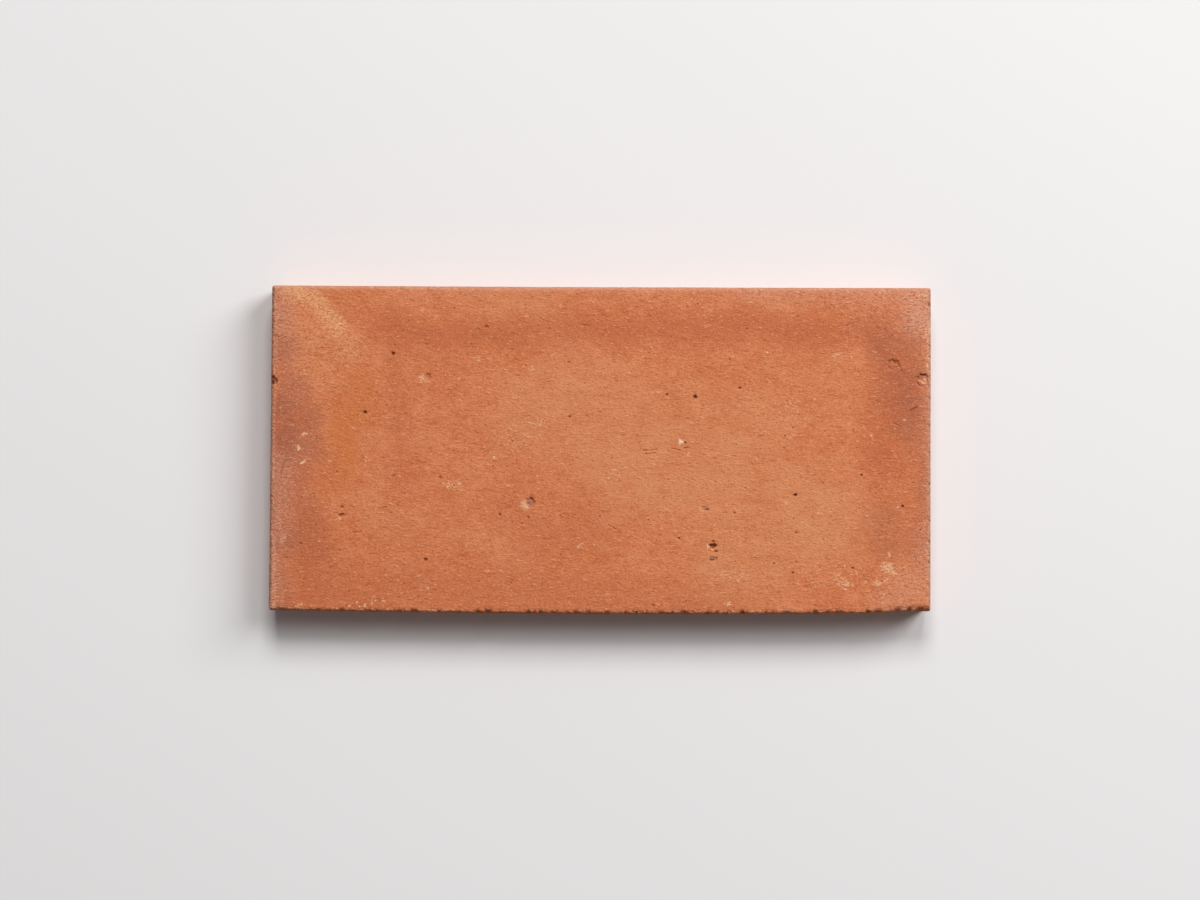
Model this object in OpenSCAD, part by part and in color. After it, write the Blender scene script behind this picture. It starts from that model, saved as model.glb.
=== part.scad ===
// Handmade terracotta floor tile: one slab of fired clay, thrown into a frame and struck off by hand.
// The plan is a little out of square, with a bellied front edge and a hollow back edge. The sides draw
// in towards the bed face, both arrises are worn round, and the wear face has pits and edge chips.
// Origin: centre of the plan's box, on the bed face. +X runs along the tile, +Y to its back edge.

/* [Plan] */
// Length of the front edge, corner to corner
front_length = 300; // [150:1:400]
// Length of the back edge, corner to corner
back_length = 298.5; // [150:0.5:400]
// How far the middle of the back edge lies to the right of the middle of the front edge
back_shift = 0.2; // [-5:0.1:5]
// Width at the left end, square to the front edge
left_width = 147.4; // [80:0.1:300]
// Width at the right end, square to the front edge
right_width = 147.5; // [80:0.1:300]
// Outward bow of the front edge at its middle
front_bow = 1.15; // [-2:0.05:3]
// Outward bow of the back edge at its middle, negative where the edge is hollow
back_bow = -0.2; // [-2:0.05:3]
// Radius of the corners in plan, at the widest line of the sides
corner_r = 1; // [0.5:0.1:10]

/* [Section] */
// Thickness from the bed face to the wear face
thickness = 20; // [12:0.5:40]
// How far the bottom of each side is drawn in from its widest line
draft = 1; // [0:0.1:3]
// Width of the worn arris round the wear face, measured across that face
top_arris_w = 1.8; // [0.4:0.1:5]
// Height of that arris, measured down the side
top_arris_h = 3.5; // [0.4:0.1:6]
// Radius of the arris round the bed face
bed_arris_r = 0.8; // [0.3:0.1:4]

/* [Pits and chips] */
// Depth of the pits as a share of the width of their mouths
pit_depth_share = 0.22; // [0.1:0.01:0.45]
// Length of the worn stretch of the front edge, by the right corner
wear_length = 32; // [10:1:60]
// How deep the wear goes there, measured from the sharp edge
wear_bite = 1.9; // [1.2:0.1:4]
// Length of the chip out of the left edge
chip_length = 4.6; // [3:0.2:12]
// How deep that chip bites, measured from the sharp edge
chip_bite = 2; // [1.2:0.1:4]

/* [Hidden] */

clay_colour = [0.78, 0.48, 0.34];

// Pits in the wear face: place along and across it, each from -1 to 1, and width of the mouth.
pits = [
    [-0.211, -0.327, 4.4],
    [0.338, -0.591, 3.2],
    [0.338, -0.677, 2.8],
    [0.321, -0.366, 3.0],
    [0.889, 0.527, 4.6],
    [-0.524, 0.441, 3.0],
    [-0.781, -0.419, 2.6],
    [0.979, 0.433, 5.6]
];

// The corners of the sharp plan, before rounding: front left, front right, back right, back left.
sharp_corners = [
    [-front_length / 2, 0],
    [front_length / 2, 0],
    [back_shift + back_length / 2, right_width],
    [back_shift - back_length / 2, left_width]
];

// The edges that start at those corners: front, right, back and left, each with its bow.
FRONT = 0;
LEFT = 3;
bows = [front_bow, 0, back_bow, 0];

// Where the worn stretch and the chip lie, as shares along their edges, anticlockwise, and how steeply
// they bite: 0 is level, into the side, and 90 is straight down, into the wear face.
wear_along = 0.975;
wear_slope = 25;
chip_along = 0.29;
chip_slope = 45;

// The smallest radius that a corner keeps where it is drawn in, and how finely the plan is divided.
least_corner_r = 0.15;
corner_steps = 4;
edge_steps = 16;
bed_arris_steps = 3;
top_arris_steps = 5;
ball_fn = 48;

// The unit vector square to a direction, on its right: outwards, on a plan drawn anticlockwise.
function square_to(direction) =
    let (u = direction / norm(direction)) [u.y, -u.x];

function wrap(k) = (k + 4) % 4;

// A corner of the plan with its two edges moved in by a distance.
function corner_moved_in(k, distance) =
    let (
        here = sharp_corners[k],
        n1 = square_to(here - sharp_corners[wrap(k - 1)]),
        n2 = square_to(sharp_corners[wrap(k + 1)] - here)
    )
    here - (n1 + n2) * distance / (1 + n1 * n2);

// A point on a bowed edge from a to b, at share s of its length, and the outward normal there.
function edge_point(a, b, bow, s) = a + (b - a) * s + square_to(b - a) * bow * 4 * s * (1 - s);
function edge_normal(a, b, bow, s) = square_to(b - a + square_to(b - a) * bow * 4 * (1 - 2 * s));

// The unit vector at share t of the anticlockwise turn from n1 to n2.
function turned(n1, n2, t) =
    let (
        start = atan2(n1.y, n1.x),
        sweep = (atan2(n2.y, n2.x) - start + 360) % 360,
        angle = start + sweep * t
    )
    [cos(angle), sin(angle)];

// The plan's outline, moved in from the widest line, as points anticlockwise from the front left corner.
function outline(inset) =
    let (
        r = max(corner_r - inset, least_corner_r),
        centres = [for (k = [0:3]) corner_moved_in(k, inset + r)],
        normal = function (k, s) edge_normal(centres[wrap(k)], centres[wrap(k + 1)], bows[wrap(k)], s)
    )
    [
        for (k = [0:3]) each concat(
            [
                for (j = [0:corner_steps])
                    let (t = j / corner_steps)
                    centres[k] + r * turned(normal(k - 1, 1), normal(k, 0), t)
            ],
            [
                for (j = [1:edge_steps - 1])
                    let (s = j / edge_steps)
                    edge_point(centres[k], centres[wrap(k + 1)], bows[k], s) + r * normal(k, s)
            ]
        )
    ];

// The section of a side, from the bed face to the wear face: distance in from the widest line, and height.
section = concat(
    [
        for (j = [0:bed_arris_steps])
            let (a = 90 * j / bed_arris_steps)
            [draft + bed_arris_r * (1 - sin(a)), bed_arris_r * (1 - cos(a))]
    ],
    [
        for (j = [0:top_arris_steps])
            let (a = 90 * j / top_arris_steps)
            [top_arris_w * (1 - cos(a)), thickness - top_arris_h * (1 - sin(a))]
    ]
);

// The plan's middle, which the origin is under.
widest = outline(0);
xs = [for (p = widest) p.x];
ys = [for (p = widest) p.y];
middle = [min(xs) + max(xs), min(ys) + max(ys)] / 2;

function between(a, b, share) = a + (b - a) * share;

// The place on the wear face at a share from -1 to 1 along and across it.
function face_place(along, across) =
    let (
        front = between(sharp_corners[0], sharp_corners[1], (along + 1) / 2),
        back = between(sharp_corners[3], sharp_corners[2], (along + 1) / 2)
    )
    between(front, back, (across + 1) / 2) - middle;

// The radius of a ball whose cap has this width and depth.
function cap_radius(width, depth) = (pow(width / 2, 2) + pow(depth, 2)) / (2 * depth);

// The section lofted round the plan, closed by the bed face and the wear face.
module slab() {
    rings = [for (p = section) [for (q = outline(p[0])) [q.x - middle.x, q.y - middle.y, p[1]]]];
    count = len(widest);
    last = len(section) - 1;
    points = concat([for (ring = rings) each ring], [[0, 0, 0], [0, 0, thickness]]);
    bed_centre = len(points) - 2;
    top_centre = len(points) - 1;
    sides = [
        for (i = [0:last - 1], j = [0:count - 1])
            let (k = (j + 1) % count, low = i * count, high = low + count)
            each [[low + j, high + j, high + k], [low + j, high + k, low + k]]
    ];
    bed_face = [for (j = [0:count - 1]) [bed_centre, j, (j + 1) % count]];
    wear_face = [for (j = [0:count - 1]) [top_centre, last * count + (j + 1) % count, last * count + j]];
    polyhedron(points, concat(sides, bed_face, wear_face), convexity = 2);
}

// A round-bottomed pit where a grain of lime or straw has left the wear face.
module pit(along, across, width) {
    depth = width * pit_depth_share;
    r = cap_radius(width, depth);
    translate([each face_place(along, across), thickness + r - depth]) sphere(r, $fn = ball_fn);
}

// A shell-shaped bite out of the top edge, square to the edge in plan and at a slope to the wear face.
module edge_bite(edge, along, length, bite, slope) {
    a = sharp_corners[edge];
    b = sharp_corners[wrap(edge + 1)];
    r = cap_radius(length, bite);
    out = (r - bite) * cos(slope);
    up = (r - bite) * sin(slope);
    place = edge_point(a, b, bows[edge], along) + edge_normal(a, b, bows[edge], along) * out - middle;
    translate([each place, thickness + up]) sphere(r, $fn = ball_fn);
}

module tile() {
    color(clay_colour)
        difference() {
            slab();
            for (p = pits) pit(p[0], p[1], p[2]);
            edge_bite(FRONT, wear_along, wear_length, wear_bite, wear_slope);
            edge_bite(LEFT, chip_along, chip_length, chip_bite, chip_slope);
        }
}

tile();
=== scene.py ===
"""Looks of the terracotta floor tile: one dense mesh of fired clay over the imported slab, its material,
a pale floor, soft studio light and a camera that looks straight down.

Lengths are in millimetres, in the frame's own axes, until the mesh is made. Those of the floor and the
lamps are in metres.
"""

import math
from collections import namedtuple

import bmesh
import bpy
import numpy as np
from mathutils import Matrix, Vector, noise


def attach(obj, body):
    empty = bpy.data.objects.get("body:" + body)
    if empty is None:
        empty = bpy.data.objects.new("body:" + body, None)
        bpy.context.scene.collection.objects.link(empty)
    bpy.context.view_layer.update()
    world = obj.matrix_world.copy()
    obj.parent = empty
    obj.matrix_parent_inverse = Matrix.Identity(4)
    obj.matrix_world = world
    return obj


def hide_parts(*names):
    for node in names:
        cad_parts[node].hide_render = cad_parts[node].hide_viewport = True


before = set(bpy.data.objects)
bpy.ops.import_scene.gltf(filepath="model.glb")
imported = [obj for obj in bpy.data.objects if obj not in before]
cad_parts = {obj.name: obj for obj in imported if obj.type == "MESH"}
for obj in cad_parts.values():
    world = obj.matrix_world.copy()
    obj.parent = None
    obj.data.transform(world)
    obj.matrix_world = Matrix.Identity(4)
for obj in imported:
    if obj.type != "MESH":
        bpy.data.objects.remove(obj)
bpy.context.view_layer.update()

MM = 0.001
BODY = "root"
NODE = "tile"
PIECE = "tile_clay"

# Camera: the picture's width, its scale on the wear face, how far the camera stands off the tile's middle,
# and its lens and sensor
PHOTO_WIDTH_PX = 1200
PX_PER_MM = 2.2123
CAMERA_X = -0.15
CAMERA_Y = 0.18
LENS_MM = 100
SENSOR_MM = 36

# The tile lies a little askew to the camera. Marks on it are placed along the camera's axes, from a point
# near its middle.
ASKEW = math.radians(0.26)
MARKS_X = -0.53
MARKS_Y = 0.3

# Reading the slab: the share of each edge that is felt and at how many places, how near a level a point
# counts as on it, how many passes place a point between curved edges, and the least length divided by
FELT_SHARE = 0.96
FELT_PLACES = 25
LEVEL = 0.02
PLACE_PASSES = 4
TINY = 1e-9

# Mesh: cell of the wear face's grid, how many of them one cell of the sides and the bed spans, width of the
# finer strip along the edges, half length of the largest bloom with a finer mesh, how far past a mark the
# mesh is split once and twice, and how far above the shoulder
GRID = 1.0
COARSER = 3
FINE_STRIP = 2.2
SMALL_BLOOM = 3.0
FINE_ROOM = 0.8
FINEST_ROOM = 0.3
ABOVE_SHOULDER = 0.1

# Steps of the arrises and of the side between them, the radius of the plan's corners, and the least that is
# left of it further in
TOP_ARRIS_STEPS = 5
BED_ARRIS_STEPS = 2
SIDE_STEPS = 12
CORNER_R = 1.0
LEAST_CORNER_R = 0.15

# Pits: place, width and depth, shares of a lump inside, of painted shade, of grey clay and of a pale
# crescent, and height as a share of the width
Pit = namedtuple("Pit", "x y width depth lump dark grey halo tall", defaults=(1.0,))
PITS = [
    Pit(-31.3, -23.8, 4.6, 0.6, 0.0, 0.15, 0.8, 0.8),
    Pit(-31.8, -23.9, 1.3, 0.4, 0.0, 0.45, 0.0, 0.0, 1.8),
    Pit(-31.0, -22.3, 2.6, 0.8, 0.0, 0.5, 0.0, 0.0, 0.6),
    Pit(51.2, -43.5, 3.6, 1.2, 0.0, 0.9, 0.0, 0.0, 0.7),
    Pit(51.2, -41.6, 1.5, 0.6, 0.0, 0.4, 0.5, 0.0),
    Pit(52.8, -46.1, 1.8, 0.5, 0.0, 0.7, 0.0, 0.0, 0.6),
    Pit(49.9, -45.6, 1.2, 0.4, 0.0, 0.3, 0.0, 0.0, 0.6),
    Pit(51.3, -49.4, 4.8, 0.4, 0.0, 0.05, 0.5, 0.0, 0.55),
    Pit(51.0, -49.8, 2.8, 0.7, 0.0, 0.75, 0.0, 0.0, 0.4),
    Pit(47.4, -26.7, 2.8, 0.3, 0.0, 0.0, 0.6, 0.3, 0.8),
    Pit(48.9, -27.0, 1.9, 0.7, 0.0, 0.5, 0.2, 0.0, 0.8),
    Pit(133.0, 38.2, 6.4, 0.7, 0.8, 0.2, 0.0, 0.0, 0.8),
    Pit(133.8, 39.5, 2.4, 0.7, 0.0, 0.6, 0.0, 0.0, 0.6),
    Pit(146.3, 31.0, 6.2, 0.7, 0.9, 0.15, 0.0, 0.0),
    Pit(146.4, 33.8, 3.4, 0.9, 0.0, 0.7, 0.0, 0.0, 0.4),
    Pit(144.5, 32.8, 1.8, 0.6, 0.0, 0.5, 0.0, 0.0, 0.6),
    Pit(-77.4, 33.2, 2.6, 0.6, 0.3, 0.2, 0.3, 0.0),
    Pit(-147.6, 32.5, 2.6, 0.7, 0.0, 0.8, 0.0, 0.0),
    Pit(-146.2, 31.3, 2.2, 0.7, 0.0, 0.8, 0.0, 0.0),
    Pit(-147.2, 31.4, 2.4, 0.6, 0.0, 0.8, 0.0, 0.0),
    Pit(-147.8, 30.4, 2.4, 0.7, 0.0, 0.8, 0.0, 0.0),
    Pit(-146.2, 29.8, 1.6, 0.5, 0.0, 0.7, 0.0, 0.0, 0.5),
]

# Small pores, dark, red and faint: x, y, width
DARK_PORES = [
    (43.5, 24, 1.7), (30.5, 25, 1.3), (88.5, -20.5, 1.6), (-93, 43.5, 1.5), (-106, 17, 1.4), (63.5, 28, 1.3),
    (-78.5, -49.5, 1.4), (137, -25.5, 1.3), (118.5, -11.5, 1.2), (79, -51.5, 1.2), (87.5, -55.5, 1),
    (38.9, 3.3, 0.9),
]
RED_PORES = [
    (-116.5, -29.7, 2.2), (-116.6, -25.9, 1.5), (-32, -30.5, 1.6), (-51, 55.5, 1.8), (-13.5, 15, 1.5),
    (-45, -29.5, 1.4), (61, -28.5, 1.3), (36, -40, 1.4), (89, -37.5, 1.2), (114.5, -53.5, 1.3),
]
FAINT_PORES = [
    (89, -51, 1), (82.5, -32.5, 1.1), (102.5, -49, 0.9), (126.5, -11, 0.9), (-5.5, 15, 1.1), (-6.5, 30, 0.9),
    (-33, 38, 1.1), (-14, 39.5, 1.4), (-58, 47.5, 0.9), (-59.5, 43, 1.1), (-75, 46.5, 0.9), (-47.5, 6, 0.9),
    (32.5, 51, 0.9), (59, 40.5, 1.2), (89.5, 60, 1.3), (110.5, 68.5, 1.2), (96, 47, 1.2), (113.5, 18.5, 1.1),
    (87.5, 10, 1.3), (124.5, 34.5, 0.9), (129, 54.5, 1.2), (26.5, -27, 0.9), (-135, -42.5, 1.3),
    (-93, -12, 1.6), (-72, -12.5, 1.4), (-132, -49.5, 1.2), (-54.5, -59.5, 1.2), (-82, -66.5, 1),
    (24.5, -70.5, 1.1),
]

# Depth of a dark pore for each mm of its width, and the share of its depth and colour that the others have
PORE_DEPTH = 0.45
RED_SHARE = 0.75
FAINT_SHARE = 0.5
PORES = [(1.0, pore) for pore in DARK_PORES]
PORES += [(RED_SHARE, pore) for pore in RED_PORES]
PORES += [(FAINT_SHARE, pore) for pore in FAINT_PORES]

# Short scratches and cracks: start x, y, end x, y, width, depth
CRACKS = [
    (-28.5, 60.5, -23, 57.5, 0.6, 0.25), (-8, 56.5, -4.5, 56, 0.9, 0.3), (20, -0.5, 26, 0, 0.7, 0.35),
    (21, -2, 25.5, -1.5, 0.7, 0.35), (32.6, 0.6, 36.8, -0.4, 0.8, 0.4), (38.3, 0.6, 40.2, 0.9, 0.9, 0.4),
    (-111.5, -37.5, -107.5, -37, 0.7, 0.3), (111.5, 56, 114.5, 57, 0.9, 0.35),
    (140.5, 17.5, 143.5, 19, 1, 0.5), (4, -34, 7.5, -36, 0.9, 0.3), (133, 12, 136, 10.5, 0.8, 0.3),
]

# Pale grains of lime: x, y, width, strength
GRAINS = [
    (37, 3.5, 2.7, 1), (-47.5, -3.5, 1.5, 0.7), (-70.5, -15, 1.2, 0.5), (-68.5, -16.5, 1, 0.5),
    (-63, -15.5, 1.3, 0.5), (76, 44, 1.2, 0.6), (107.5, 43, 1.3, 0.5), (114, 42, 1.3, 0.5),
    (97.5, 23, 1.2, 0.5), (123, 6.5, 1.2, 0.5), (138, 13.5, 1.1, 0.5), (-77.5, -62.5, 1.4, 0.5),
    (-90.5, -43, 1, 0.5), (84.5, -24, 1.5, 0.4),
    (135, -26, 1.2, 0.4), (-28, -12, 1.5, 0.3), (127, 71, 2, 0.4), (-117, 57, 1.5, 0.4),
]

# White bloom: x, y, half length, half width, turn in degrees, strength
BLOOMS = [
    (130.5, -53.5, 5, 4, -20, 0.8), (130.5, -54.1, 2, 0.9, 0, 1), (133.2, -55.7, 2.2, 0.8, -15, 1),
    (130, -58.7, 1.6, 0.8, 15, 0.9), (131.6, -47.5, 1, 1.6, 0, 0.9), (137.9, -53, 0.9, 0.7, 0, 1),
    (109.5, -60.5, 5, 4, -15, 0.6), (111.9, -60.9, 1.6, 0.9, 25, 1), (107, -58.5, 1.5, 0.8, 30, 0.8),
    (111.4, -62.8, 2, 0.8, 10, 0.8), (114.9, -60.9, 1.3, 0.7, 0, 0.8), (116.3, -55.5, 1.1, 1.1, 0, 0.8),
    (113.8, -56.8, 1, 0.8, 0, 0.7), (125.5, -60.5, 4, 2.4, 0, 0.75), (120, -60, 2.5, 2, 0, 0.6),
    (128, -66, 2.6, 2, 0, 0.6), (98, -61, 1.5, 1.2, 0, 0.7),
    (58.5, -69.5, 2.4, 2, 0, 0.8), (-136, -70.3, 3.5, 1.3, 10, 0.7), (-135.5, 70.5, 4.5, 2.5, -25, 0.55),
    (-133.4, 7, 2.4, 1, 22, 1), (-135.7, 0.8, 1.9, 1, 60, 1), (-133.5, -5.4, 2.8, 1, 30, 1),
    (-142.5, -40, 2.8, 2.6, 0, 0.62), (-132.5, -44, 1, 2, 0, 0.5), (-128, -42, 2.4, 1.4, 0, 0.5),
    (49.2, -43.6, 1, 1.6, 0, 0.8), (50.6, -45, 1.8, 0.8, -10, 0.8), (146.4, 30.9, 2.1, 1.8, 0, 0.75),
    (105, -55, 28, 9, 0, 0.35), (-117.2, -31, 1.6, 0.7, -15, 0.9), (146.5, 69.5, 4, 3, 0, 0.7),
    (-105, -4, 1.6, 4, 0, 0.6), (-8.5, -43.5, 2.8, 2, 30, 0.7), (8, -9.5, 3, 2.4, 0, 0.5),
    (-41, -16, 4.5, 2, 0, 0.5), (-79.8, 32, 3.4, 3, 0, 0.75), (-66.5, -16, 7, 3, 0, 0.6),
    (-60, -44, 4, 3, 0, 0.4), (-28, 12, 9, 4, 0, 0.5), (39.6, -2, 2, 1.2, -30, 0.7), (108, 43, 7, 4, 0, 0.5),
    (148.8, 48, 24, 1.6, 90, 0.6), (-55, 41, 3, 2.4, 0, 0.6), (-30, 37, 4, 3, 0, 0.5),
    (60, -57, 14, 5, 0, 0.5), (101, -27, 8, 5, 0, 0.4),
    (-38, 4, 14, 8, 0, 0.42), (5, -12, 10, 6, 0, 0.42), (87, 16, 16, 9, 0, 0.4),
    (-114.9, -69.1, 1.3, 0.6, 40, 0.9), (-112.8, -70.6, 1.2, 0.6, 30, 1), (-109.2, -68.5, 1.2, 0.5, 30, 0.8),
    (-108.2, -70.8, 1, 0.6, 20, 0.9), (-105.6, -70.1, 1.1, 0.6, 50, 0.9), (-103.1, -69.4, 1.1, 0.5, 20, 0.9),
    (-101.1, -68.5, 1.1, 0.5, 15, 0.9), (-97.4, -68.3, 1.4, 0.6, 20, 1),
]

# Bites out of the top edges: place along the edge, width and depth
FRONT_NOTCHES = [
    (-143.5, 2, 0.6), (-127.5, 1.6, 0.5), (-116.5, 3, 0.6), (-104, 2, 0.5), (-90.5, 4, 0.6), (-84, 5, 0.7),
    (-72.5, 2, 0.6), (-55, 3, 0.8), (-50.5, 4, 1.1), (-32, 2.2, 1), (-29.3, 1.2, 0.7), (-26.7, 1.8, 0.8),
    (-19.7, 1.4, 0.6), (-10.8, 1.8, 0.9), (-4.7, 1.2, 0.6), (3.5, 3, 0.7), (11.7, 1.6, 0.7),
    (16.8, 1.6, 0.8), (21, 1.2, 0.6), (28, 3, 0.6), (33, 2, 0.6), (38.5, 5, 0.8), (49, 3, 0.7),
    (53.2, 1.2, 0.6), (57.8, 1.2, 0.7), (64.4, 2.4, 1.1), (75.2, 1.2, 0.6), (78.2, 1.2, 0.6),
    (84.5, 5, 0.6), (97.5, 2.8, 1.1), (103, 3, 0.7), (108, 5, 0.7), (121.3, 2.4, 1.1), (125.5, 3.6, 0.7),
    (134.7, 4, 0.8), (140, 3, 0.7), (145, 4, 0.9),
]
RIGHT_NICKS = [
    (65.5, 2.6, 0.5), (47, 1.4, 0.4), (42, 1.2, 0.4), (23.5, 1.6, 0.4), (11, 1.4, 0.4), (-1, 1.6, 0.4),
    (-15.5, 1.6, 0.4), (-32, 1.4, 0.4), (-41.5, 1.6, 0.5), (-48, 1.2, 0.4), (-51, 1.2, 0.4),
]
BACK_NICKS = [(-90, 2.2, 0.7), (-78, 2, 0.6), (129.5, 2.4, 0.7), (18, 1.4, 0.4), (64, 1.6, 0.4)]

# Depth of the crumbling along the top edges where its noise is 1, and the share of their depth that the
# front notches are cut to
CRUMBS_FRONT = 0.5
CRUMBS_RIGHT = 0.8
CRUMBS_ELSEWHERE = 0.4
NOTCH_SHARE = 0.75

# Worn stretch of the front edge by the right corner: where it starts, where it is deepest, its depth, where
# it fades in from the edge and down the side, and which way the clay is taken back for each mm of it
WEAR_START = 118.0
WEAR_DEEPEST = 147.0
WEAR_DEPTH = 0.8
WEAR_FADES_IN = (1.5, 4.0)
WEAR_FADES_DOWN = (4.0, 14.0)
WEAR_WAY = np.array([0.0, 1.0, -0.9])

# Relief, as the cell of its noise and its depth: struck grain, slow swell and the sides' scuffs. Below the
# bed's level the grain and the swell are only a share as deep.
GRAIN_CELL = (6, 2.4, 4)
GRAIN_DEPTH = 0.07
SWELL_CELL = (60, 40, 40)
SWELL_DEPTH = 0.05
SCUFF_CELL = (9, 9, 3.5)
SCUFF_DEPTH = 0.5
BED_LEVEL = 0.5
BED_SHARE = 0.3

# Firing colour and dust on the wear face, as brush strokes through points: half width, softness, strength
Stroke = namedtuple("Stroke", "points half_width softness strength")
RED = [
    Stroke(((-97, 54), (-60, 52), (0, 54), (60, 54), (126, 54)), 4, 9, 0.75),
    Stroke(((126, 52), (136, 30), (133, 10), (129, -6)), 6, 10, 0.8),
    Stroke(((122, 34), (122, 16)), 3, 8, 0.45),
    Stroke(((-93, 60), (-92, 20), (-90, -12)), 3, 8, 0.5),
    Stroke(((-40, -28), (-20, -42), (-4, -34)), 7, 14, 0.35),
    Stroke(((-134, -14), (-130, -56)), 5, 9, 0.8),
    Stroke(((-130, -60), (-60, -62), (0, -68), (60, -71)), 6, 11, 0.4),
    Stroke(((-136, -69), (-102, -69)), 3, 7, 0.5),
]
MAUVE = [
    Stroke(((-148, 74), (-146, 44)), 6, 9, 0.75),
    Stroke(((-139, 23), (-139, 2)), 7, 10, 1.0),
    Stroke(((-128, 16), (-127, 2)), 3, 8, 0.55),
    Stroke(((-147, 4), (-148, -36)), 7, 9, 0.85),
    Stroke(((-149, -36), (-149, -72)), 5, 8, 0.7),
    Stroke(((-134, -16), (-131, -50)), 4, 9, 0.25),
    Stroke(((142, 50), (145, 14)), 5, 9, 0.7),
    Stroke(((127, 46), (130, 30)), 4, 9, 0.5),
    Stroke(((147, 2), (147, -42)), 4, 8, 0.55),
    Stroke(((128, -30), (130, -42)), 5, 10, 0.5),
]
GOLD = [
    Stroke(((-110, 32), (-113, 8), (-121, -16)), 3, 8, 0.9),
]
TAN = [
    Stroke(((-46, 70), (-14, 50)), 5, 12, 0.4),
    Stroke(((-30, 22), (0, 24), (22, 8)), 10, 18, 0.5),
    Stroke(((-40, 10), (-12, 2)), 6, 11, 0.4),
    Stroke(((8, -10), (50, -14), (100, -28), (60, -54)), 12, 18, 0.6),
    Stroke(((92, -24), (108, -38)), 8, 14, 0.4),
    Stroke(((70, 16), (108, 34)), 8, 16, 0.25),
    Stroke(((46, 18), (74, 4)), 8, 14, 0.35),
    Stroke(((-100, -30), (-88, -34)), 4, 9, 0.3),
]
CREAM = [
    Stroke(((-142, 75), (-128, 68.5), (-119, 56)), 2, 4.5, 1.0),
    Stroke(((-140, 72), (-130, 69)), 2, 5, 0.6),
    Stroke(((-119, 56), (-112, 44)), 1, 7, 0.55),
    Stroke(((-138, 64), (-126, 40)), 5, 12, 0.2),
]
PINK = [
    Stroke(((-147, 75), (-146, 58)), 5, 8, 0.5),
    Stroke(((-140, 44), (-136, 28)), 4, 9, 0.15),
    Stroke(((-145, -8), (-147, -34)), 5, 8, 0.4),
    Stroke(((-148, -34), (-148, -72)), 2, 6, 0.45),
    Stroke(((-135, -2), (-134, -22)), 4, 8, 0.12),
    Stroke(((-149.5, 72), (-150.5, -72)), 3.3, 0.6, 0.75),
    Stroke(((147, 75), (146, 60)), 6, 8, 0.9),
    Stroke(((148, 58), (149, -60)), 1, 4, 0.3),
    Stroke(((147, -36), (146, -48)), 2, 5, 0.3),
    Stroke(((118, 58), (134, 56)), 5, 9, 0.12),
    Stroke(((148, -56), (132, -70)), 6, 10, 0.4),
    Stroke(((70, 73), (140, 72)), 5, 7, 0.4),
    Stroke(((-90, 74), (70, 74)), 3, 6, 0.2),
]

# Cells of the clay's own noises and spots
FLECK_CELL = (1.9, 1.0, 1.1)
MOTTLE_CELL = (5, 3.4, 3.5)
PATCH_CELL = (13, 9, 9)
CLOUD_CELL = (34, 24, 24)
DENT_CELL = (3.1, 1.7, 2)
GRIT_CELL = (0.8, 0.6, 0.6)
DRAG_CELL = (7, 7, 1.6)
PALE_SPOT_CELL = (4.6, 3.8, 4)
DARK_SPOT_CELL = (4.4, 3.6, 4)

# Width, in cells, of the widest spots, and of the spot in a cell that shows none
SPOT_WIDTH = 0.26
NO_SPOT = 0.001

# Fine relief that is bump, by its depth, and how much the clay shines
FLECK_BUMP = 0.24
MOTTLE_BUMP = 0.2
GRIT_BUMP = 0.12
SPOT_BUMP = 0.3
CLAY_SPECULAR = 0.15

# Linear colours of the clay and of what lies on it, and of the painted shade in its pits and along its edges
CLAY_DEEP = (0.560, 0.150, 0.055, 1)
CLAY_PALE = (0.695, 0.240, 0.106, 1)
CLAY_TAN = (0.680, 0.266, 0.118, 1)
FIRED_RED = (0.505, 0.130, 0.052, 1)
FIRED_MAUVE = (0.400, 0.122, 0.066, 1)
FIRED_GOLD = (0.605, 0.176, 0.056, 1)
DUSTY_CREAM = (0.765, 0.362, 0.168, 1)
DUSTY_PINK = (0.650, 0.312, 0.210, 1)
DUSTY_RIM = (0.480, 0.225, 0.140, 1)
WHITE_BLOOM = (0.780, 0.440, 0.255, 1)
LIME_GRAIN = (0.880, 0.700, 0.500, 1)
FLECK_PALE = (0.780, 0.350, 0.175, 1)
FLECK_DARK = (0.410, 0.092, 0.031, 1)
PORE_RED = (0.270, 0.062, 0.024, 1)
# Painted shade deep in the pits and the dark pores
PIT_SHADE_PAINT = (0.200, 0.050, 0.014, 1)
PIT_GREY = (0.400, 0.180, 0.140, 1)
# Painted shade for the arrises that face away from the lamps, the bites and the worn corner
EDGE_SHADE_PAINT = (0.270, 0.066, 0.038, 1)
# Sides painted duller and darker, most where they face the lamps, to cut the coloured light they bounce onto
# the floor
SIDE_DULL = (0.330, 0.147, 0.090, 1)

# Floor: its size and colours, a cell of one metre, the turn of its axis towards the lamps, and where along
# that axis it darkens
FLOOR_SIZE = 6.0
FLOOR_PALE = (0.830, 0.810, 0.810, 1)
FLOOR_SHADED = (0.515, 0.502, 0.502, 1)
METRE = (1000, 1000, 1000)
LAMPS_TURN = 50
FLOOR_DARKENS_FROM = 0.35
FLOOR_DARKENS_TO = 1.5

# Lamps: name, azimuth and elevation in degrees, distance, width, height and power in watts, and the strength
# of the even light all round
SOFTBOXES = [
    ("back_softbox", 1, 45, 3.9, 1.5, 1.4, 92.0),
    ("right_softbox", 54, 39, 3.4, 1.5, 2.4, 88.0),
]
WORLD_STRENGTH = 0.12

# How far apart two seeds read the noise, in cells
SEED_STEP = 17.3

# Sockets of a colour mix: its factor, its two colours and its result
MIX_FACTOR = 0
MIX_FIRST = 6
MIX_SECOND = 7
MIX_RESULT = 2


def noise_field(points, cell, seed, octaves=3):
    """Smooth noise from about -1 to 1 at points, with cells of that size, finer and fainter by octave."""
    scaled = points / np.asarray(cell) + SEED_STEP * seed
    return np.array([noise.fractal(place, 1.0, 2.0, octaves) for place in scaled.tolist()])


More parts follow.
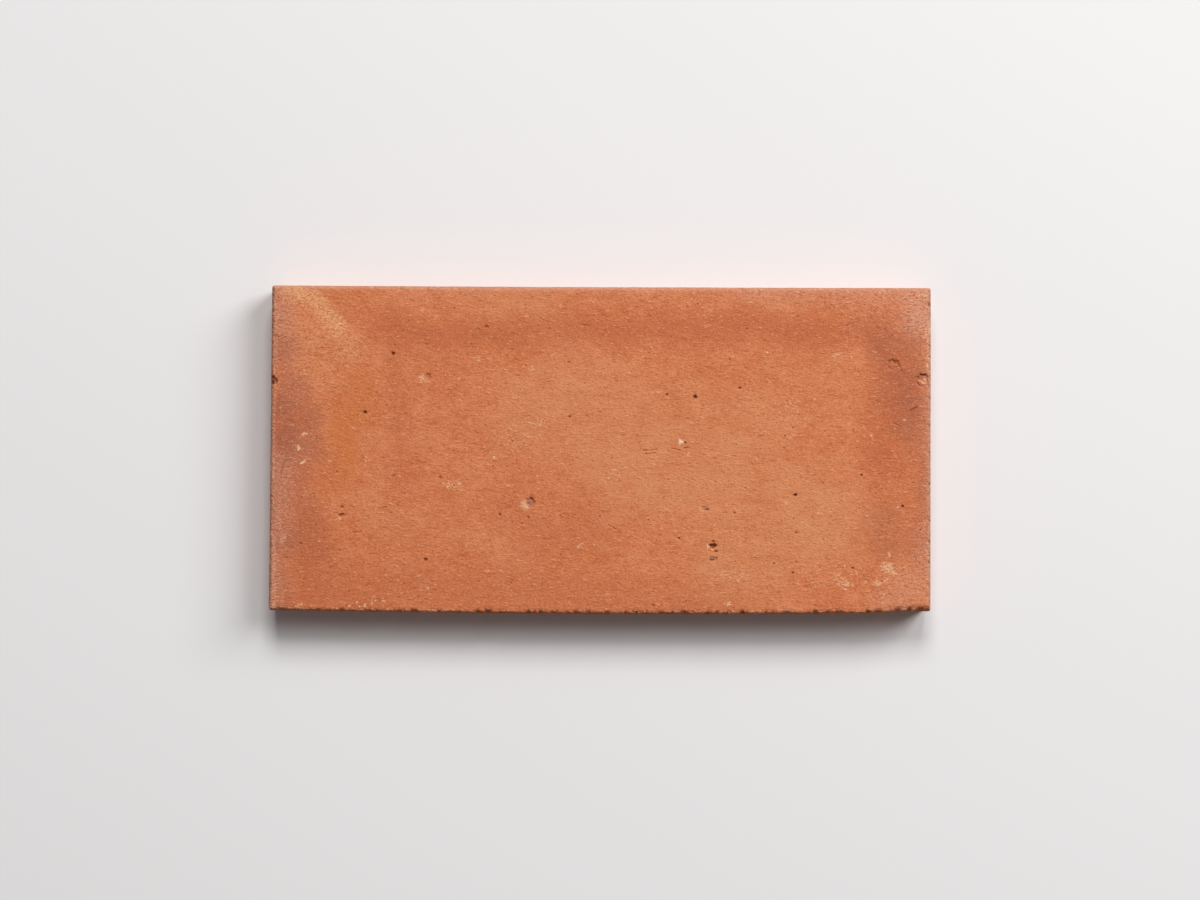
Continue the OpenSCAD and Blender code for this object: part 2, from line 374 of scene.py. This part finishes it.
def ramp(value, start, end):
    """0 before start, 1 after end, and a smooth rise between them."""
    t = np.clip((value - start) / (end - start), 0, 1)
    return t * t * (3 - 2 * t)


class Plan:
    """The tile's widest outline and its section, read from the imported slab."""

    def __init__(self):
        points = np.array([v.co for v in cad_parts[NODE].data.vertices]) / MM
        self.low, self.high = points.min(0), points.max(0)
        self.thick = self.high[2]
        levels, counts = np.unique(points[:, 2].round(2), return_counts=True)
        rings = levels[counts > counts.max() / 4]
        self.shoulder = rings[rings > self.thick / 2].min()
        self.foot = rings[rings < self.thick / 2].max()
        self.arris_h = self.thick - self.shoulder
        self.arris_w = points[points[:, 2] > self.thick - LEVEL, 0].min() - self.low[0]
        foot_ring = points[abs(points[:, 2] - self.foot) < LEVEL]
        self.draft = self.high[0] - foot_ring[:, 0].max()
        self.lines = {
            "front": self.edge_line(0, 1),
            "back": self.edge_line(0, -1),
            "left": self.edge_line(1, 1),
            "right": self.edge_line(1, -1),
        }

    def edge_line(self, axis, inwards):
        """The curve of the edge along an axis, felt at half height and moved out to the widest line."""
        other = 1 - axis
        start, direction = np.zeros(3), np.zeros(3)
        start[other] = -2 * inwards * self.high[other]
        start[2] = (self.shoulder + self.foot) / 2
        direction[other] = inwards
        along = np.linspace(FELT_SHARE * self.low[axis], FELT_SHARE * self.high[axis], FELT_PLACES)
        found = []
        for at in along:
            start[axis] = at
            _, hit, _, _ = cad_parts[NODE].ray_cast(start * MM, direction)
            found.append(hit[other] / MM - inwards * self.draft / 2)
        return np.polyfit(along, found, 2)

    def line(self, name, along):
        """Where an edge's curve is, at places along it."""
        return np.polyval(self.lines[name], along)

    def place(self, u, v, inset):
        """The point at shares u and v between the ends and between the long edges, all moved in by inset."""
        x = self.low[0] + (self.high[0] - self.low[0]) * u
        for _ in range(PLACE_PASSES):
            y_low = self.line("front", x) + inset
            y = y_low + (self.line("back", x) - inset - y_low) * v
            x_low = self.line("left", y) + inset
            x = x_low + (self.line("right", y) - inset - x_low) * u
        return self.rounded(x, y, inset)

    def rounded(self, x, y, inset):
        """Points near a corner of the plan moved in to its arc."""
        r = np.maximum(CORNER_R - inset, LEAST_CORNER_R)
        left, right = x - self.line("left", y) - inset, self.line("right", y) - inset - x
        front, back = y - self.line("front", x) - inset, self.line("back", x) - inset - y
        a, b = np.minimum(left, right), np.minimum(front, back)
        reach = np.hypot(r - a, r - b)
        outside = (a < r) & (b < r) & (reach > r)
        pull = np.where(outside, 1 - r / np.maximum(reach, TINY), 0)
        x = x + np.where(left < right, 1, -1) * (r - a) * pull
        y = y + np.where(front < back, 1, -1) * (r - b) * pull
        return x, y

    def edge_distances(self, x, y):
        """How far points are inside the front, right, back and left edges."""
        return (
            y - self.line("front", x),
            self.line("right", y) - x,
            self.line("back", x) - y,
            x - self.line("left", y),
        )


def quarter(steps):
    """The angles of a quarter turn in even steps, without the first."""
    return [math.pi / 2 * k / steps for k in range(1, steps + 1)]


def border(across, along):
    """The shares u and v of a grid's border, anticlockwise from its front left corner."""
    s, t = np.arange(across) / across, np.arange(along) / along
    u = np.concatenate([s, np.ones(along), 1 - s, np.zeros(along)])
    v = np.concatenate([np.zeros(across), t, np.ones(across), 1 - t])
    return u, v


def grid_border(across, along):
    """The indices of a grid's border vertices, in the same order."""
    index = np.arange((across + 1) * (along + 1)).reshape(along + 1, across + 1)
    return np.concatenate([index[0, :-1], index[:-1, -1], index[-1, :0:-1], index[:0:-1, 0]])


def grid_quads(across, along):
    """The faces of a grid by the indices of its vertices, facing up."""
    index = np.arange((across + 1) * (along + 1)).reshape(along + 1, across + 1)
    return np.stack([index[:-1, :-1], index[:-1, 1:], index[1:, 1:], index[1:, :-1]], -1).reshape(-1, 4)


def slab_mesh(plan):
    """Points and faces of the plain slab: a fine grid above, rings down the sides and a coarser bed."""
    across = COARSER * round((plan.high[0] - plan.low[0]) / GRID / COARSER)
    along = COARSER * round((plan.high[1] - plan.low[1]) / GRID / COARSER)
    points, faces = [], []

    def add_points(x, y, z):
        start = sum(len(p) for p in points)
        points.append(np.stack([x, y, np.full(len(x), z)], 1))
        return start + np.arange(len(x))

    v, u = (g.ravel() for g in np.mgrid[0:along + 1, 0:across + 1])
    top = add_points(*plan.place(u / across, v / along, plan.arris_w), plan.thick)
    faces.extend(grid_quads(across, along).tolist())
    upper = top[grid_border(across, along)]

    def add_ring(upper, inset, z, cells):
        lower = add_points(*plan.place(*border(*cells), inset), z)
        faces.extend(np.stack([upper, lower, np.roll(lower, -1), np.roll(upper, -1)], 1).tolist())
        return lower

    for a in quarter(TOP_ARRIS_STEPS):
        inset, z = plan.arris_w * (1 - math.sin(a)), plan.shoulder + plan.arris_h * math.cos(a)
        upper = add_ring(upper, inset, z, (across, along))

    # Three cells of the fine ring at the shoulder meet one of the coarse ring below it
    coarse = (across // COARSER, along // COARSER)
    side = plan.shoulder - plan.foot
    first_step = plan.place(*border(*coarse), plan.draft / SIDE_STEPS)
    lower = add_points(*first_step, plan.shoulder - side / SIDE_STEPS)
    thirds = upper.reshape(-1, COARSER)
    ahead = np.roll(lower, -1)
    faces.extend(np.stack([thirds[:, 0], lower, thirds[:, 1]], 1).tolist())
    faces.extend(np.stack([thirds[:, 1], lower, ahead, thirds[:, 2]], 1).tolist())
    faces.extend(np.stack([thirds[:, 2], ahead, np.roll(thirds[:, 0], -1)], 1).tolist())
    upper = lower
    for k in range(2, SIDE_STEPS + 1):
        upper = add_ring(upper, plan.draft * k / SIDE_STEPS, plan.shoulder - side * k / SIDE_STEPS, coarse)
    for a in quarter(BED_ARRIS_STEPS)[:-1]:
        inset, z = plan.draft + plan.foot * (1 - math.cos(a)), plan.foot * (1 - math.sin(a))
        upper = add_ring(upper, inset, z, coarse)

    v, u = (g.ravel() for g in np.mgrid[0:coarse[1] + 1, 0:coarse[0] + 1])
    bed = add_points(*plan.place(u / coarse[0], v / coarse[1], plan.draft + plan.foot), 0.0)
    rim = bed[grid_border(*coarse)]
    faces.extend(np.stack([upper, rim, np.roll(rim, -1), np.roll(upper, -1)], 1).tolist())
    faces.extend((bed[0] + grid_quads(*coarse))[:, ::-1].tolist())
    return np.concatenate(points), faces


def line_distance(p, x0, y0, x1, y1):
    """How far points are, in plan, from a straight line between two places."""
    direction = np.array([x1 - x0, y1 - y0])
    offset = p[:, :2] - [x0, y0]
    share = np.clip(offset @ direction / (direction @ direction), 0, 1)
    return np.linalg.norm(offset - share[:, None] * direction, axis=1)


def along_camera(p):
    """Points in the axes that the marks are placed along."""
    x, y = p[:, 0] - MARKS_X, p[:, 1] - MARKS_Y
    c, s = math.cos(ASKEW), math.sin(ASKEW)
    return np.stack([c * x + s * y, c * y - s * x, p[:, 2]], 1)


def near_marks(plan, p, room):
    """Which points are within room of a pit, a pore, a grain, a crack or a small bloom of the wear face."""
    seen = along_camera(p)
    near = np.zeros(len(p), bool)
    for x, y, width, *_ in PITS + DARK_PORES + RED_PORES + FAINT_PORES + GRAINS:
        near |= np.hypot(seen[:, 0] - x, seen[:, 1] - y) < width / 2 + room
    for x0, y0, x1, y1, width, _ in CRACKS:
        near |= line_distance(seen, x0, y0, x1, y1) < width / 2 + room
    for x, y, half_length, *_ in BLOOMS:
        if half_length <= SMALL_BLOOM:
            near |= np.hypot(seen[:, 0] - x, seen[:, 1] - y) < half_length + room
    return near & (p[:, 2] > plan.shoulder + ABOVE_SHOULDER)


def near_edges(plan, p):
    """Which points are in the strip of the wear face along its edges, or on the arris."""
    close = np.min(plan.edge_distances(p[:, 0], p[:, 1]), axis=0) < FINE_STRIP
    return close & (p[:, 2] > plan.shoulder + ABOVE_SHOULDER)


def refine(work, choose):
    """Split in two the edges whose middles are chosen."""
    work.edges.ensure_lookup_table()
    middles = np.array([(e.verts[0].co + e.verts[1].co) / 2 for e in work.edges])
    edges = [e for e, chosen in zip(work.edges, choose(middles)) if chosen]
    bmesh.ops.subdivide_edges(work, edges=edges, cuts=1, use_grid_fill=True)


def make_tile(plan):
    """The plain slab's mesh, split finer along its top edges and under its marks."""
    points, faces = slab_mesh(plan)
    mesh = bpy.data.meshes.new(PIECE)
    mesh.from_pydata(points.tolist(), [], faces)
    work = bmesh.new()
    work.from_mesh(mesh)
    refine(work, lambda p: near_marks(plan, p, FINE_ROOM) | near_edges(plan, p))
    refine(work, lambda p: near_marks(plan, p, FINEST_ROOM))
    work.to_mesh(mesh)
    work.free()
    return mesh


def mesh_vectors(mesh, name):
    """A vector that each vertex has, such as its place or its normal, as rows."""
    flat = np.zeros(len(mesh.vertices) * 3)
    mesh.vertices.foreach_get(name, flat)
    return flat.reshape(-1, 3)


def pit_reach(p, pit, right=0.0, up=0.0):
    """How far points are from a pit's middle, or from a place beside it, in half widths of the pit."""
    r = pit.width / 2
    return np.hypot((p[:, 0] - pit.x) / r - right, (p[:, 1] - pit.y) / (r * pit.tall) - up)


def pit_depths(p):
    """Depth of pits, pores and cracks at points of the wear face, how much painted shade the pits and dark
    pores get, and how red the pores and cracks are.
    """
    depth, dark, red = np.zeros(len(p)), np.zeros(len(p)), np.zeros(len(p))
    wander = noise_field(p, 1.3, seed=11)
    for pit in PITS:
        ragged = (0.5 - 0.3 * pit.lump) * wander
        bowl = 1 - ramp(pit_reach(p, pit) - ragged, 0.5 + 0.25 * pit.lump, 1.15)
        bowl -= pit.lump * (1 - ramp(pit_reach(p, pit, up=-0.2) - ragged, 0.35, 0.85))
        depth = np.maximum(depth, pit.depth * bowl)
        # Painted shade in a pit, deepest where the pit is deepest
        dark = np.maximum(dark, pit.dark * ramp(bowl, 0.2, 0.9))
    for share, (x, y, width) in PORES:
        reach = np.hypot((p[:, 0] - x) / 1.25, p[:, 1] - y) / (width / 2) - 0.5 * wander
        bowl = 1 - ramp(reach, 0.3, 1.1)
        depth = np.maximum(depth, PORE_DEPTH * share * width * bowl)
        # Only the dark pores get painted shade
        dark = np.maximum(dark, ramp(share, RED_SHARE, 1.0) * bowl)
        red = np.maximum(red, share * bowl)
    for x0, y0, x1, y1, width, deep in CRACKS:
        reach = line_distance(p, x0, y0, x1, y1) / (width / 2) - 0.6 * wander
        groove = 1 - ramp(reach, 0.1, 1.0)
        depth = np.maximum(depth, deep * groove)
        red = np.maximum(red, 0.35 * groove)
    return depth, dark, red


def bites(along, notches):
    """Depth of a row of bites at places along an edge."""
    rows = [depth * (1 - ramp(abs(along - at) / (width / 2), 0.3, 1.0)) for at, width, depth in notches]
    return np.max(rows, axis=0)


def edge_wear(plan, p, seen):
    """Depth of the ragged wear and the notches along the top edges, and of the worn front right corner."""
    front, right, back, left = plan.edge_distances(p[:, 0], p[:, 1])
    below = plan.thick - p[:, 2]
    high = 1 - ramp(below, 0.5 * plan.arris_h, plan.arris_h)

    def close(distance):
        return (1 - ramp(distance, 0.6 * plan.arris_w, 1.7 * plan.arris_w)) * high

    crumbs = np.maximum(noise_field(p, 2.2, seed=21), 0)
    wear = CRUMBS_ELSEWHERE * crumbs * close(np.minimum(back, left))
    wear = np.maximum(wear, CRUMBS_RIGHT * crumbs * close(right))
    wear = np.maximum(wear, CRUMBS_FRONT * crumbs * close(front))
    along_x, along_y = seen[:, 0] + 0.6 * noise_field(p, 1.5, seed=22), seen[:, 1]
    wear = np.maximum(wear, NOTCH_SHARE * bites(along_x, FRONT_NOTCHES) * close(front))
    wear = np.maximum(wear, bites(along_y, RIGHT_NICKS) * close(right))
    wear = np.maximum(wear, bites(along_x, BACK_NICKS) * close(back))
    worn = WEAR_DEPTH * ramp(seen[:, 0], WEAR_START, WEAR_DEEPEST) * (1 - ramp(front, *WEAR_FADES_IN))
    return wear, worn * (1 - ramp(below, *WEAR_FADES_DOWN))


def edge_covers(plan, p, seen, wear):
    """Cover of painted shade along the front and left edges, which face away from the lamps, at the right
    edge's nicks, in the bites and on the worn corner; and of a painted highlight just behind the front edge."""
    front, right, _, left = plan.edge_distances(p[:, 0], p[:, 1])
    ragged = 0.6 * noise_field(p, (6, 2, 2), seed=61) + 0.5 * noise_field(p, 1.2, seed=62)
    bitten = bites(seen[:, 0] + noise_field(p, 2.0, seed=64), FRONT_NOTCHES)
    band = front + ragged - 1.3 * bitten
    line = 0.5 * (1 - ramp(band, 0.1, 1.0))
    thin = 0.3 * (1 - ramp(left, 0.1, 0.6))
    ticks = 0.8 * ramp(bites(seen[:, 1], RIGHT_NICKS), 0.1, 0.35) * (1 - ramp(right, 0.5, 1.4))
    # Painted shade: the dark line on the front arris, the thin one on the left, the ticks in the right
    # nicks, and the deep bites and worn corner
    edge_shade = np.maximum.reduce([line, thin, ticks, 0.6 * ramp(wear, 0.6, 1.2)])
    # Painted highlight: a pale band just behind the dark front line, mixed in with the bloom
    pale = 0.6 * (1 - ramp(abs(band - 1.4), 0.2, 0.9))
    return edge_shade, pale


def rim_cover(plan, p):
    """Cover of the dull dusty skin along the back and right edges."""
    _, right, back, _ = plan.edge_distances(p[:, 0], p[:, 1])
    return 1 - ramp(np.minimum(right, back) + 0.5 * noise_field(p, 2.5, seed=63), 1.0, 2.4)


def brushed(p, strokes):
    """How strongly each point is covered by a set of brush strokes."""
    cover = np.zeros(len(p))
    for stroke in strokes:
        lines = zip(stroke.points[:-1], stroke.points[1:])
        distance = np.min([line_distance(p, *a, *b) for a, b in lines], axis=0)
        soft = stroke.strength * (1 - ramp(distance, stroke.half_width - stroke.softness / 2,
                                           stroke.half_width + stroke.softness))
        cover = 1 - (1 - cover) * (1 - soft)
    return cover


def bloom_cover(p):
    """Cover of the white bloom."""
    cover = np.zeros(len(p))
    for x, y, half_length, half_width, turn, strength in BLOOMS:
        c, s = math.cos(math.radians(turn)), math.sin(math.radians(turn))
        dx, dy = p[:, 0] - x, p[:, 1] - y
        reach = np.hypot((dx * c + dy * s) / half_length, (dy * c - dx * s) / half_width)
        cover = np.maximum(cover, strength * (1 - ramp(reach, 0.3, 1.2)))
    return cover


def grain_cover(p):
    """Cover of the lime grains."""
    cover = np.zeros(len(p))
    wander = noise_field(p, 1.0, seed=71, octaves=2)
    for x, y, width, strength in GRAINS:
        reach = np.hypot(p[:, 0] - x, p[:, 1] - y) / (width / 2) - 0.5 * wander
        cover = np.maximum(cover, strength * (1 - ramp(reach, 0.3, 1.0)))
    return cover


def pit_colours(p):
    """Cover of grey clay inside the pits, and of the pale crescent on the left of some."""
    grey, halo = np.zeros(len(p)), np.zeros(len(p))
    for pit in PITS:
        grey = np.maximum(grey, pit.grey * (1 - ramp(pit_reach(p, pit), 0.6, 1.1)))
        halo = np.maximum(halo, pit.halo * (1 - ramp(pit_reach(p, pit, right=-0.8, up=-0.4), 0.5, 1.2)))
    return grey, halo * (1 - grey)


def clay_masks(plan, p, seen, n, wear, dark, red):
    """What the material mixes by: covers from 0 to 1 at the mesh's points."""
    up = ramp(p[:, 2], plan.shoulder - 0.3, plan.shoulder + 0.8)
    shaded = np.clip(np.maximum(-n[:, 0], -n[:, 1]), 0, 1)
    warped = seen.copy()
    warped[:, 0] += 5 * noise_field(p, 18, seed=51)
    warped[:, 1] += 4 * noise_field(p, 18, seed=52)
    nearly = seen + (warped - seen) / 5
    torn = seen.copy()
    torn[:, 0] += 0.9 * noise_field(p, 2.5, seed=53)
    torn[:, 1] += 0.7 * noise_field(p, 2.5, seed=54)
    grey, halo = pit_colours(seen)
    edge_shade, pale = edge_covers(plan, p, seen, wear)
    return {
        "red": brushed(warped, RED) * up,
        "mauve": brushed(warped, MAUVE) * up,
        "gold": brushed(warped, GOLD) * up,
        "tan": brushed(warped, TAN) * up,
        "cream": brushed(nearly, CREAM) * up,
        "pink": brushed(nearly, PINK) * up,
        # The bloom cover also carries the painted highlight just behind the front edge
        "bloom": np.maximum(bloom_cover(torn), pale) * up,
        "grain": grain_cover(seen) * up,
        # Painted shade in the pits and dark pores
        "pit": dark * up,
        "pore": red * up,
        "grey": grey * up,
        "halo": halo * up,
        "rim": rim_cover(plan, p) * up,
        # Painted shade on the arrises that face away from the lamps and in the bites
        "edge_shade": edge_shade * (p[:, 2] > plan.shoulder - 0.1),
        # Sides painted duller, most on the back and right that face the lamps, less on the front and left
        # that lie in shade
        "side": (1 - up) * (1 - 0.7 * shaded),
    }


def shape_clay(plan, mesh):
    """Press the wear, the marks and the hand-struck surface into the slab, and write the masks."""
    p, n = mesh_vectors(mesh, "co"), mesh_vectors(mesh, "normal")
    seen = along_camera(p)
    depth, dark, red = pit_depths(seen)
    wear, worn = edge_wear(plan, p, seen)
    grain = GRAIN_DEPTH * (1 + noise_field(p, GRAIN_CELL, seed=31))
    swell = SWELL_DEPTH * (1 + noise_field(p, SWELL_CELL, seed=41))
    scuffs = SCUFF_DEPTH * ramp(noise_field(p, SCUFF_CELL, seed=42), 0.1, 0.7)
    scuffs *= ramp(p[:, 2], 0.5, 3.0) * (1 - ramp(p[:, 2], plan.shoulder - 4.0, plan.shoulder))
    share = np.where(p[:, 2] > BED_LEVEL, 1, BED_SHARE)
    sink = depth * (p[:, 2] > plan.shoulder) + wear + scuffs + (grain + swell) * share
    shaped = p - n * sink[:, None] + WEAR_WAY * worn[:, None]
    shaped = np.clip(shaped, plan.low, plan.high)
    mesh.vertices.foreach_set("co", (shaped * MM).ravel())
    for name, values in clay_masks(plan, p, seen, n, wear + worn, dark, red).items():
        layer = mesh.attributes.new(name, "FLOAT", "POINT")
        layer.data.foreach_set("value", values.astype(np.float32))
    mesh.update()


class Nodes:
    """Adds nodes to a material's tree, links them, and hands back their outputs."""

    def __init__(self, material):
        material.use_nodes = True
        self.tree = material.node_tree
        self.shader = self.tree.nodes["Principled BSDF"]
        self.place = self.add("ShaderNodeTexCoord", {}).outputs["Object"]

    def add(self, kind, inputs, **settings):
        node = self.tree.nodes.new(kind)
        for name, value in settings.items():
            setattr(node, name, value)
        for key, value in inputs.items():
            self.feed(node.inputs[key], value)
        return node

    def feed(self, socket, value):
        if isinstance(value, bpy.types.NodeSocket):
            self.tree.links.new(value, socket)
        else:
            socket.default_value = value

    def mask(self, name):
        return self.add("ShaderNodeAttribute", {}, attribute_name=name).outputs["Fac"]

    def stretched(self, cell, turn=0.0):
        """Coordinates in which one unit is a cell of that size in mm, along axes turned about Z."""
        size = [c * MM for c in cell]
        inputs = {"Vector": self.place, "Rotation": (0, 0, math.radians(turn)), "Scale": size}
        return self.add("ShaderNodeMapping", inputs, vector_type="TEXTURE").outputs[0]

    def noise(self, cell, detail, turn=0.0, roughness=0.55):
        place = self.stretched(cell, turn)
        inputs = {"Vector": place, "Scale": 1.0, "Detail": detail, "Roughness": roughness}
        return self.add("ShaderNodeTexNoise", inputs).outputs[0]

    def spots(self, cell, share, width):
        """Round spots, one in that share of the cells, about that wide in cells."""
        cells = self.add("ShaderNodeTexVoronoi", {"Vector": self.stretched(cell), "Scale": 1.0})
        chance = self.add("ShaderNodeSeparateColor", {"Color": cells.outputs["Color"]})
        size = self.remap(chance.outputs[0], 1 - share, 1.0, NO_SPOT, width / 2)
        return self.remap(self.math("DIVIDE", cells.outputs["Distance"], size), 1.0, 0.5)

    def remap(self, value, low, high, to_low=0.0, to_high=1.0):
        inputs = {"Value": value, "From Min": low, "From Max": high, "To Min": to_low, "To Max": to_high}
        return self.add("ShaderNodeMapRange", inputs).outputs[0]

    def math(self, operation, a, b):
        return self.add("ShaderNodeMath", {0: a, 1: b}, operation=operation).outputs[0]

    def mix(self, factor, first, second):
        inputs = {MIX_FACTOR: factor, MIX_FIRST: first, MIX_SECOND: second}
        return self.add("ShaderNodeMix", inputs, data_type="RGBA").outputs[MIX_RESULT]

    def weighted(self, *shares):
        """The sum of values times their weights."""
        total = 0.0
        for value, weight in shares:
            inputs = {0: value, 1: weight, 2: total}
            total = self.add("ShaderNodeMath", inputs, operation="MULTIPLY_ADD").outputs[0]
        return total

    def bump(self, height, depth, below=None):
        """A normal that stands for relief of that depth in mm, over the relief below it."""
        inputs = {"Height": height, "Distance": depth * MM, "Strength": 1.0}
        if below is not None:
            inputs["Normal"] = below
        return self.add("ShaderNodeBump", inputs).outputs[0]


class Clay(Nodes):
    """Fired clay: mottled orange, firing bands, cream dust, struck flecks, bloom, lime grains and pores."""

    def __init__(self, material):
        super().__init__(material)
        self.flecks = self.noise(FLECK_CELL, 3, turn=-3, roughness=0.6)
        self.mottle = self.noise(MOTTLE_CELL, 3)
        self.patches = self.noise(PATCH_CELL, 3)
        self.grit = self.noise(GRIT_CELL, 2)
        self.drag = self.noise(DRAG_CELL, 3)
        self.pale_spots = self.spots(PALE_SPOT_CELL, 0.65, SPOT_WIDTH)
        self.dark_spots = self.spots(DARK_SPOT_CELL, 0.6, SPOT_WIDTH)
        dents = self.noise(DENT_CELL, 2, turn=7)
        self.lit = self.remap(dents, 0.60, 0.72, 0.0, 0.5)
        self.dented = self.remap(dents, 0.38, 0.27, 0.0, 0.38)
        self.speckle = self.weighted((self.flecks, 0.5), (self.grit, 0.5))
        self.dusty = self.remap(self.speckle, 0.43, 0.59, 0.15, 1.6)
        coarse = ((self.noise(CLOUD_CELL, 3), 0.12), (self.patches, 0.22), (self.mottle, 0.26))
        self.tone = self.weighted(*coarse, (self.flecks, 0.22), (self.grit, 0.18))

    def share(self, name, amount):
        """A mask times an amount."""
        return self.math("MULTIPLY", self.mask(name), amount)

    def fired(self):
        """Colour of the clay with its firing bands and its dust, and of its sides: painted duller and
        darker, most on the back and right that face the lamps, to cut the coloured light they bounce onto
        the floor, and smoked in patches.
        """
        colour = self.mix(self.remap(self.tone, 0.40, 0.60), CLAY_DEEP, CLAY_PALE)
        uneven = self.remap(self.patches, 0.3, 0.7, 0.5, 1.3)
        bands = (("tan", CLAY_TAN), ("red", FIRED_RED), ("mauve", FIRED_MAUVE), ("gold", FIRED_GOLD))
        for name, tint in bands:
            colour = self.mix(self.share(name, uneven), colour, tint)
        for name, tint in (("cream", DUSTY_CREAM), ("pink", DUSTY_PINK)):
            colour = self.mix(self.share(name, self.dusty), colour, tint)
        colour = self.mix(self.share("rim", 0.85), colour, DUSTY_RIM)
        # Duller, darker paint on the sides, most where they face the lamps, to cut their bounce onto the
        # floor
        dull = self.remap(self.drag, 0.3, 0.7, 0.6, 0.95)
        colour = self.mix(self.share("side", dull), colour, SIDE_DULL)
        smoked = self.remap(self.patches, 0.50, 0.66, 0.0, 0.5)
        return self.mix(self.share("side", smoked), colour, FIRED_MAUVE)

    def speckled(self, colour):
        """A colour with flecks, dents and patches of bloom over it."""
        colour = self.mix(self.remap(self.grit, 0.57, 0.72, 0.0, 0.5), colour, FLECK_PALE)
        colour = self.mix(self.remap(self.grit, 0.43, 0.28, 0.0, 0.65), colour, FLECK_DARK)
        colour = self.mix(self.remap(self.flecks, 0.58, 0.74, 0.0, 0.4), colour, FLECK_PALE)
        colour = self.mix(self.remap(self.flecks, 0.42, 0.28, 0.0, 0.5), colour, FLECK_DARK)
        colour = self.mix(self.lit, colour, FLECK_PALE)
        colour = self.mix(self.dented, colour, FLECK_DARK)
        flecked = self.weighted((self.mask("bloom"), 1.0), (self.speckle, 3.0))
        return self.mix(self.remap(flecked, 2.0, 2.4, 0.0, 0.9), colour, WHITE_BLOOM)

    def marked(self, colour):
        """A colour with small spots, pits, pores and lime grains over it, and with painted shade in the deep
        pits and along the edges that face away from the lamps.
        """
        layers = (
            (self.math("MULTIPLY", self.pale_spots, 0.55), WHITE_BLOOM),
            (self.math("MULTIPLY", self.dark_spots, 0.45), PORE_RED),
            (self.mask("halo"), WHITE_BLOOM),
            (self.share("grey", self.dusty), PIT_GREY),
            (self.mask("pore"), PORE_RED),
            (self.mask("pit"), PIT_SHADE_PAINT),
            (self.mask("edge_shade"), EDGE_SHADE_PAINT),
            (self.mask("grain"), LIME_GRAIN),
        )
        for cover, tint in layers:
            colour = self.mix(cover, colour, tint)
        return colour

    def relief(self):
        """The normal of the fine relief."""
        normal = self.bump(self.weighted((self.flecks, 1.0), (self.drag, 0.3)), FLECK_BUMP)
        normal = self.bump(self.mottle, MOTTLE_BUMP, normal)
        normal = self.bump(self.grit, GRIT_BUMP, normal)
        spots = ((self.pale_spots, 0.3), (self.dark_spots, -1.0))
        return self.bump(self.weighted(*spots, (self.dented, -1.0), (self.lit, 0.8)), SPOT_BUMP, normal)


def clay_material():
    material = bpy.data.materials.new("terracotta")
    clay = Clay(material)
    clay.feed(clay.shader.inputs["Base Color"], clay.marked(clay.speckled(clay.fired())))
    clay.feed(clay.shader.inputs["Roughness"], clay.remap(clay.tone, 0.4, 0.6, 0.95, 0.82))
    clay.feed(clay.shader.inputs["Normal"], clay.relief())
    clay.shader.inputs["Specular IOR Level"].default_value = CLAY_SPECULAR
    return material


def floor_material():
    """Pale and plain. Beyond the picture it darkens towards the lamps, to stay below white there."""
    material = bpy.data.materials.new("pale_floor")
    floor = Nodes(material)
    axes = floor.add("ShaderNodeSeparateXYZ", {"Vector": floor.stretched(METRE, LAMPS_TURN)})
    shade = floor.remap(axes.outputs["X"], FLOOR_DARKENS_FROM, FLOOR_DARKENS_TO)
    floor.feed(floor.shader.inputs["Base Color"], floor.mix(shade, FLOOR_PALE, FLOOR_SHADED))
    floor.shader.inputs["Roughness"].default_value = 1.0
    floor.shader.inputs["Specular IOR Level"].default_value = 0.0
    return material


def make_floor():
    bpy.ops.mesh.primitive_plane_add(size=FLOOR_SIZE)
    floor = bpy.context.object
    floor.name = "floor"
    floor.data.materials.append(floor_material())


def softbox(name, azimuth, elevation, distance, width, height, power):
    """An area light that faces the tile. Azimuth runs from the back, +Y, towards the right, +X."""
    lamp = bpy.data.lights.new(name, "AREA")
    lamp.shape = "RECTANGLE"
    lamp.size, lamp.size_y = width, height
    lamp.energy = power
    box = bpy.data.objects.new(name, lamp)
    bpy.context.scene.collection.objects.link(box)
    a, e = math.radians(azimuth), math.radians(elevation)
    away = Vector((math.sin(a) * math.cos(e), math.cos(a) * math.cos(e), math.sin(e)))
    box.location = away * distance
    box.rotation_euler = (-away).to_track_quat("-Z", "Y").to_euler()


def make_lights():
    """Two softboxes, and a faint even light all round."""
    for values in SOFTBOXES:
        softbox(*values)
    world = bpy.data.worlds.new("studio")
    bpy.context.scene.world = world
    world.use_nodes = True
    world.node_tree.nodes["Background"].inputs["Color"].default_value = (1, 1, 1, 1)
    world.node_tree.nodes["Background"].inputs["Strength"].default_value = WORLD_STRENGTH


def make_camera(plan):
    """A camera that looks straight down, as high as the scale on the wear face asks."""
    lens = bpy.data.cameras.new("camera")
    lens.lens = LENS_MM
    lens.sensor_width = SENSOR_MM
    camera = bpy.data.objects.new("camera", lens)
    bpy.context.scene.collection.objects.link(camera)
    distance = PHOTO_WIDTH_PX / PX_PER_MM * LENS_MM / SENSOR_MM
    place = (CAMERA_X, CAMERA_Y, plan.thick + distance)
    camera.location = [c * MM for c in place]
    camera.rotation_euler = (0, 0, ASKEW)
    bpy.context.scene.camera = camera


plan = Plan()
make_camera(plan)
mesh = make_tile(plan)
shape_clay(plan, mesh)
mesh.materials.append(clay_material())
mesh.shade_smooth()
tile = bpy.data.objects.new(PIECE, mesh)
bpy.context.scene.collection.objects.link(tile)
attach(tile, BODY)
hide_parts(NODE)
make_floor()
make_lights()
bpy.context.scene.view_settings.view_transform = "Standard"
